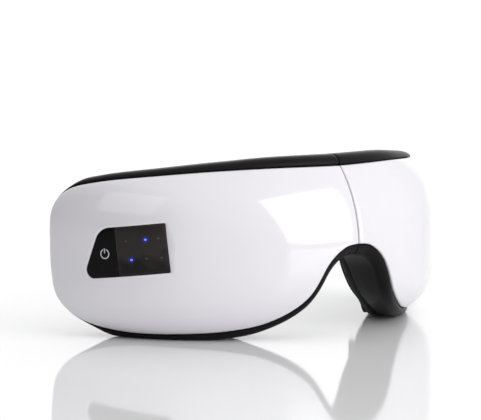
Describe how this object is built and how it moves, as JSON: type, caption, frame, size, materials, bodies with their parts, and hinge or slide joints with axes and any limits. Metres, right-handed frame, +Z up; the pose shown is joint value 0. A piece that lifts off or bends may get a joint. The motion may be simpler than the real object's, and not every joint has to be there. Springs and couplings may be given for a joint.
{
  "type": "eye massager mask",
  "caption": "Folding eye massager mask: two hinged white shells on dark padded cases, with a tilted smoked control panel, a nose arch, strap loops and air-pressed massage heads.",
  "frame": {"origin": "on the surface the mask stands on, under the middle of its bounding box", "axes": "+X towards the half without the control panel, -Y the front of the mask, +Z up"},
  "size_m": [0.2004, 0.1011, 0.0793],
  "materials": {
    "white_shell": "high gloss white lacquer",
    "dark_case": "satin black moulding",
    "face_pad": "soft black protein leather",
    "eye_liner": "black knitted lining",
    "air_bag": "thin translucent film",
    "heat_film": "copper on amber film",
    "silicone": "soft silicone",
    "steel": "bright steel",
    "weight_metal": "sintered tungsten alloy",
    "smoked_panel": "smoked, polished",
    "button_black": "polished black",
    "mark_grey": "printed pale grey",
    "lamp_blue": "lit blue",
    "lamp_clear": "unlit, clear",
    "circuit_board": "green solder mask",
    "chip_black": "moulded epoxy",
    "pump_white": "moulded nylon",
    "battery_wrap": "blue film wrap"
  },
  "bodies": {
    "control_half": {"front_shell_l": "white_shell", "case_l": "dark_case", "back_plate_l": "dark_case", "face_pad_l": "face_pad", "eye_liner_l": "eye_liner", "air_bag_l": "air_bag", "heat_film_l": "heat_film", "plate_screws_l": "steel", "strap_loop_l": "dark_case", "hinge_arm_l": "dark_case", "vibration_motor_l": "steel", "hinge_pin": "steel", "panel_window": "smoked_panel", "button_switch": "chip_black", "lamps_lit": "lamp_blue", "lamps_unlit": "lamp_clear", "lamp_board": "circuit_board", "main_board": "circuit_board", "board_chips": "chip_black", "charging_socket": "steel", "air_pump": "pump_white", "pump_motor": "steel", "air_valve": "pump_white", "air_hose": "silicone"},
    "battery_half": {"front_shell_r": "white_shell", "case_r": "dark_case", "back_plate_r": "dark_case", "face_pad_r": "face_pad", "eye_liner_r": "eye_liner", "air_bag_r": "air_bag", "heat_film_r": "heat_film", "plate_screws_r": "steel", "strap_loop_r": "dark_case", "hinge_arm_r": "dark_case", "vibration_motor_r": "steel", "battery_cell": "battery_wrap", "battery_tray": "dark_case"},
    "power_button": {"power_button": "button_black", "power_mark": "mark_grey"},
    "massage_left": {"massage_heads_l": "silicone"},
    "massage_right": {"massage_heads_r": "silicone"},
    "motor_weight_left": {"motor_weight_l": "weight_metal"},
    "motor_weight_right": {"motor_weight_r": "weight_metal"}
  },
  "joints": [
    {"name": "fold", "type": "hinge", "parent": "control_half", "child": "battery_half", "pos_m": [0, -0.02364, 0.058], "axis": [0, 0, 1], "range_deg": [0, 96]},
    {"name": "power_press", "type": "slide", "parent": "control_half", "child": "power_button", "axis": [0.8805, 0.474, 0], "range_m": [0, 0.0006], "stiffness_N_per_m": 900},
    {"name": "massage_press_left", "type": "slide", "parent": "control_half", "child": "massage_left", "axis": [0.5924, 0.8056, 0], "range_m": [0, 0.0015], "stiffness_N_per_m": 600},
    {"name": "massage_press_right", "type": "slide", "parent": "battery_half", "child": "massage_right", "axis": [-0.5924, 0.8056, 0], "range_m": [0, 0.0015]},
    {"name": "motor_spin_left", "type": "hinge", "parent": "control_half", "child": "motor_weight_left", "pos_m": [-0.03942, -0.03422, 0.055], "axis": [0, 0, 1], "continuous": true},
    {"name": "motor_spin_right", "type": "hinge", "parent": "battery_half", "child": "motor_weight_right", "pos_m": [0.03942, -0.03422, 0.055], "axis": [0, 0, 1], "continuous": true}
  ],
  "couplings": [
    {"joint": "massage_press_right", "follows": "massage_press_left", "ratio": 1}
  ]
}
